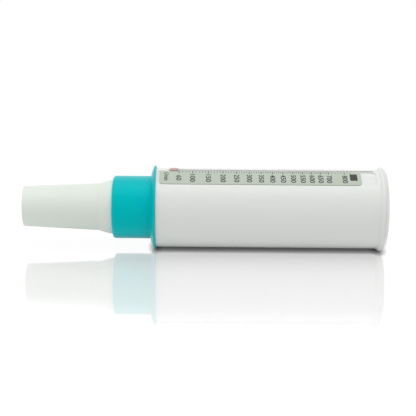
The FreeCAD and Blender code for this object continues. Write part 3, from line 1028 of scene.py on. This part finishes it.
class METER_OT_pointer(bpy.types.Operator):
    """Red tab with grip lines, and its barbed neck down through the slot"""

    bl_idname = "meter.pointer"
    bl_label = "Pointer"

    steps = (12, 6, 12)
    top_rings = 12
    edge_rings = 4
    under_rings = 5

    def execute(self, context):
        size = context.scene.meter.pointer
        top = POINTER_RADIUS
        under = top - size.thickness
        edge = size.edge_round
        middle = np.array([(POINTER_FRONT + POINTER_REAR) / 2, 0.0])
        waves = 4 * QUARTER * size.grip_count / (POINTER_REAR - POINTER_FRONT)

        def tab_at(inset, grow=1.0):
            """The tab's outline moved in by an inset, then shrunk towards its middle."""
            flat = rounded_box(
                POINTER_FRONT + inset, POINTER_REAR - inset, size.half_width - inset,
                size.corner - inset, self.steps)
            return middle + (flat - middle) * grow

        rows = []
        for grow in np.linspace(0, 1, self.top_rings + 1):
            flat = tab_at(edge, grow)
            wave = 0.5 - 0.5 * np.cos((flat[:, 0] - middle[0]) * waves)
            dip = size.grip_depth * wave * (1 - grow ** size.grip_fade)
            rows.append(laid(by_arc(flat, top), top - dip))
        for drop, inset in rounding(edge, self.edge_rings + 1)[1:]:
            rows.append(laid(by_arc(tab_at(inset), top), top - drop))
        for grow in np.linspace(1, 0, self.under_rings + 1):
            rows.append(laid(by_arc(tab_at(0.0, grow), under), under))
        surface = Surface().add(np.stack(rows))
        front = POINTER_FRONT + size.neck_inset
        rear = front + size.neck_length
        barb = size.barb_reach
        self.add_post(surface, front, rear, size.neck_width, under + size.thickness / 3)
        self.add_post(surface, front - barb, rear + barb, size.barb_width, POINTER_FOOT + size.barb_height)
        make_piece("pointer_tab", surface, pointer_plastic, "pointer_red", POINTER_BODY, "pointer")
        return {"FINISHED"}

    def add_post(self, surface, x_low, x_high, width, high):
        """An upright post with softened corners, from the pointer's foot to a height above the axis."""
        shape = rounded_box(x_low, x_high, width / 2, width / 12, steps=(3, 3, 3))
        middle = middle_of(shape)
        rows = []
        for height, ring in ((POINTER_FOOT, middle), (POINTER_FOOT, shape), (high, shape), (high, middle)):
            z = np.full(len(ring), AXIS_HEIGHT + height)
            rows.append(np.stack([ring[:, 0], -ring[:, 1], z], axis=-1))
        surface.add(np.stack(rows))


class METER_OT_rear_cap(bpy.types.Operator):
    """End cap with a standing ring, a sunk grille of air slots, and the rod's pocket and boss"""

    bl_idname = "meter.rear_cap"
    bl_label = "Rear cap"

    steps = (18, 10, 20)
    sector_rings = 6

    def grille_slot(self, size, grow):
        """A long hole that points away from the axis, as (radius, angle) points."""
        half = size.slot_width / 2 + grow
        out, across = rounded_box(size.slot_inner - grow, size.slot_outer + grow, half, half, self.steps).T
        return np.stack([np.hypot(out, across), np.arctan2(across, out)], axis=-1)

    def execute(self, context):
        size = context.scene.meter.cap
        tube = context.scene.meter.tube
        skirt = tube.radius - tube.wall - size.skirt_fit
        skirt_inner = skirt - size.skirt_wall
        ring = RIM_RADIUS - size.standing_ring
        sunk = CAP_FACE - size.face_recess
        joint = TUBE_REAR
        pocket = joint + size.pocket_floor
        boss = joint - size.boss_length
        outside = [
            (sunk, size.grille_outer),
            (sunk, ring),
            (CAP_FACE, ring, size.ring_round),
            (CAP_FACE, RIM_RADIUS - size.slope_drop, size.edge_round),
            (CAP_FACE - size.slope_length, RIM_RADIUS, size.edge_round),
            (joint, RIM_RADIUS, size.joint_break),
            (joint, skirt),
            (CAP_FRONT, skirt, size.joint_break),
            (CAP_FRONT, skirt_inner, size.joint_break),
            (joint, skirt_inner),
            (joint, size.grille_outer),
        ]
        inside = [
            (sunk, size.grille_inner),
            (sunk, size.pocket_radius, size.ring_round),
            (pocket, size.pocket_radius),
            (pocket, size.bore),
            (boss, size.bore),
            (boss, size.boss_radius, size.ring_round),
            (joint, size.boss_radius),
            (joint, size.grille_inner),
        ]
        surface = Surface()
        for corners in (outside, inside):
            surface.add(turned(outline(corners, closed=False)))
        edge = size.slot_round
        half_sector = math.pi / size.slot_count
        sector = rounded_box(size.grille_inner, size.grille_outer, half_sector, 0.0, self.steps)
        profile = [(joint, 0.0)] + [(sunk - drop, grow) for grow, drop in rounding(edge)]
        for direction in 2 * half_sector * np.arange(size.slot_count):
            for x, grow in ((sunk, edge), (joint, 0.0)):
                flat = ruled(self.grille_slot(size, grow), sector, self.sector_rings)
                surface.add(round_axis(x, flat[..., 0], direction + flat[..., 1]))
            rows = []
            for x, grow in profile:
                radius, turn = self.grille_slot(size, grow).T
                rows.append(round_axis(x, radius, direction + turn))
            surface.add(np.stack(rows))
        make_piece("cap_shell", surface, white_plastic, "white_plastic", METER_BODY, "rear_cap")
        return {"FINISHED"}


class METER_OT_spring(bpy.types.Operator):
    """Long soft coil of round wire on the rod, at the length the frame gives it; the real coil closes up as
    the piston travels
    """

    bl_idname = "meter.spring"
    bl_label = "Return spring"

    def execute(self, context):
        size = context.scene.meter.spring
        wire = size.wire / 2
        span = SPRING_REAR - SPRING_FRONT - size.wire
        # By a logistic curve at each end, the pitch goes over from the wire's width to the open
        # pitch, and its sum is x. A circle of the wire's size is carried along, square to the coil.
        turns = np.linspace(0, size.turns, int(size.turns * size.steps_per_turn) + 1)
        middle_turn = (turns[1:] + turns[:-1]) / 2
        from_end = np.minimum(middle_turn, size.turns - middle_turn)
        closed = 1 / (1 + np.exp((from_end - size.dead_turns) * size.opening))
        open_pitch = (span - 2 * size.dead_turns * size.wire) / (size.turns - 2 * size.dead_turns)
        pitch = size.wire * closed + open_pitch * (1 - closed)
        x = np.concatenate([[0.0], np.cumsum(pitch)])
        x = SPRING_FRONT + wire + x / x[-1] * span
        around = turns * 4 * QUARTER
        centre = round_axis(x, SPRING_RADIUS - wire, around)
        outward = round_axis(0.0, 1.0, around) - (0, 0, AXIS_HEIGHT)
        along = np.gradient(centre, axis=0)
        along /= np.linalg.norm(along, axis=1, keepdims=True)
        across = np.cross(along, outward)
        section = np.linspace(0, 4 * QUARTER, size.wire_steps, endpoint=False)[None, :, None]
        ring = np.cos(section) * outward[:, None] + np.sin(section) * across[:, None]
        ends = np.broadcast_to(centre[[0, -1], None], (2, size.wire_steps, 3))
        surface = Surface().add(np.concatenate([ends[:1], centre[:, None] + ring * wire, ends[1:]]))
        piece = make_piece(
            "return_spring_coil", surface, steel, "bright_steel", METER_BODY, "return_spring")
        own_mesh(piece)
        return {"FINISHED"}


class METER_OT_inner_pieces(bpy.types.Operator):
    """Finishes of the inner pieces, which keep the shapes that the frame gives them"""

    bl_idname = "meter.inner_pieces"
    bl_label = "Inner pieces"

    looks = {
        "rod_spider": white_plastic,
        "guide_rod": steel,
        "rod_front_clip": steel,
        "rod_rear_clip": steel,
        "rest_bumper": rubber,
        "piston_disc": piston_plastic,
        "piston_bush": bush_plastic,
        "piston_ring": bush_plastic,
        "pointer_shoe": piston_plastic,
        "pointer_leaf": steel,
    }

    def execute(self, context):
        for node, look in self.looks.items():
            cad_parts[node].material_slots[0].material = look(context.scene.meter.finish)
        return {"FINISHED"}


# Stage


def seen_rays(tree):
    """1 for rays that see a surface straight, in a mirror or through glass, 0 for rays that light."""
    path = tree.nodes.new("ShaderNodeLightPath").outputs
    straight = math_node(tree, "ADD", path["Is Camera Ray"], path["Is Glossy Ray"])
    return math_node(tree, "MINIMUM", math_node(tree, "ADD", straight, path["Is Transmission Ray"]), 1.0)


def floor_material(size):
    """Glossy white card with a mirror image that fades, and the meter's shadow, partly lit and partly
    painted.

    Rays that light things meet a plain card. Rays that see the floor meet a mix of that card, which
    takes the soft shadows, and of an even white times the open share of the sky close by, to a
    power: a painted contact shadow round the meter. Over both lies a mirror, dimmed by the same open
    share, which paints that shadow into the mirror image as well, and whose own share falls evenly
    with the distance from the meter.
    """
    material = bpy.data.materials.new("Studio floor")
    material.use_nodes = True
    tree = material.node_tree
    tree.nodes.clear()
    card = add_node(tree, "ShaderNodeBsdfDiffuse", Color=opaque(size.floor_colour)).outputs[0]
    # Painted contact shadow: ambient occlusion near the meter darkens the floor's even white and, through
    # the gloss colour, its mirror image.
    sky = add_node(tree, "ShaderNodeAmbientOcclusion", Distance=size.contact_reach, samples=16)
    painted_shadow_factor = math_node(tree, "POWER", sky.outputs["AO"], size.contact_power)
    level = math_node(tree, "MULTIPLY", painted_shadow_factor, size.floor_white)
    white = add_node(tree, "ShaderNodeEmission", Strength=level).outputs[0]
    gloss = add_node(tree, "ShaderNodeBsdfGlossy", Roughness=size.mirror_blur, Color=painted_shadow_factor).outputs[0]
    place = tree.nodes.new("ShaderNodeTexCoord").outputs["Object"]
    across = add_node(tree, "ShaderNodeSeparateXYZ", Vector=place).outputs["Y"]
    faded = math_node(tree, "DIVIDE", math_node(tree, "ABSOLUTE", across), size.mirror_end)
    left = math_node(tree, "MAXIMUM", math_node(tree, "SUBTRACT", 1.0, faded), 0.0)
    mirror = math_node(tree, "MULTIPLY", left, size.mirror)
    seen = mix_shaders(tree, mirror, mix_shaders(tree, size.lit_share, white, card), gloss)
    add_node(tree, "ShaderNodeOutputMaterial", Surface=mix_shaders(tree, seen_rays(tree), card, seen))
    return material


def softbox(name, place, aim, width, depth, power):
    """A large area lamp that points at a place on the meter."""
    light = bpy.data.lights.new(name, "AREA")
    light.shape = "RECTANGLE"
    light.size = width
    light.size_y = depth
    light.energy = power
    lamp = bpy.data.objects.new(name, light)
    lamp.location = place
    lamp.rotation_mode = "QUATERNION"
    lamp.rotation_quaternion = (Vector(aim) - Vector(place)).to_track_quat("-Z", "Y")
    bpy.context.scene.collection.objects.link(lamp)


class METER_OT_stage(bpy.types.Operator):
    """White floor with a fading mirror, soft studio light and the camera"""

    bl_idname = "meter.stage"
    bl_label = "Stage"

    def execute(self, context):
        scene = context.scene
        size = scene.meter.stage
        half = size.floor_size / 2
        mesh = bpy.data.meshes.new("studio_floor")
        corners = [(-half, -half, 0), (half, -half, 0), (half, half, 0), (-half, half, 0)]
        mesh.from_pydata(corners, [], [(0, 1, 2, 3)])
        mesh.materials.append(floor_material(size))
        floor = bpy.data.objects.new("studio_floor", mesh)
        scene.collection.objects.link(floor)

        world = bpy.data.worlds.new("Studio")
        world.use_nodes = True
        tree = world.node_tree
        background = tree.nodes["Background"]
        background.inputs["Color"].default_value = (1.0, 1.0, 1.0, 1.0)
        feed(tree, background.inputs["Strength"], remap(tree, seen_rays(tree), size.world_light, 1.0))
        scene.world = world
        softbox(
            "top_softbox", place=(0.0, -0.05, 0.9), aim=(0.0, 0.0, AXIS_HEIGHT), width=1.2, depth=0.8,
            power=size.top_power)

        camera_data = bpy.data.cameras.new("camera")
        camera_data.lens = size.lens
        camera_data.sensor_width = 36.0
        camera_data.clip_end = 50.0
        camera = bpy.data.objects.new("camera", camera_data)
        back = size.camera_distance * math.cos(size.camera_elevation)
        up = size.camera_distance * math.sin(size.camera_elevation)
        camera.location = (size.camera_place, -back, size.aim_height + up)
        camera.rotation_mode = "QUATERNION"
        look = Vector((size.aim_place, 0.0, size.aim_height)) - camera.location
        roll = Quaternion((0, 0, 1), size.camera_roll)
        camera.rotation_quaternion = look.to_track_quat("-Z", "Y") @ roll
        scene.collection.objects.link(camera)
        scene.camera = camera
        scene.view_settings.view_transform = "Standard"
        return {"FINISHED"}


PIECE_OPERATORS = (
    METER_OT_mouthpiece,
    METER_OT_collar,
    METER_OT_tube,
    METER_OT_plate,
    METER_OT_scale_marks,
    METER_OT_scale_numbers,
    METER_OT_pointer,
    METER_OT_rear_cap,
    METER_OT_spring,
    METER_OT_inner_pieces,
    METER_OT_stage,
)


class METER_PT_panel(bpy.types.Panel):
    """Buttons that build the meter's pieces"""

    bl_idname = "METER_PT_panel"
    bl_label = "Peak Flow Meter"
    bl_space_type = "VIEW_3D"
    bl_region_type = "UI"
    bl_category = "Peak Flow Meter"

    def draw(self, context):
        for operator in PIECE_OPERATORS:
            self.layout.operator(operator.bl_idname)


CLASSES = (
    MeterMouthpiece,
    MeterCollar,
    MeterTube,
    MeterPlate,
    MeterPointer,
    MeterCap,
    MeterSpring,
    MeterFinish,
    MeterStage,
    MeterSettings,
    *PIECE_OPERATORS,
    METER_PT_panel,
)


def register():
    for group in CLASSES:
        bpy.utils.register_class(group)
    bpy.types.Scene.meter = PointerProperty(type=MeterSettings)


def unregister():
    del bpy.types.Scene.meter
    for group in reversed(CLASSES):
        bpy.utils.unregister_class(group)


def main():
    register()
    for operator in PIECE_OPERATORS:
        family, name = operator.bl_idname.split(".")
        if getattr(getattr(bpy.ops, family), name)() != {"FINISHED"}:
            raise RuntimeError(operator.bl_label + " wasn't built")


if __name__ == "__main__":
    main()
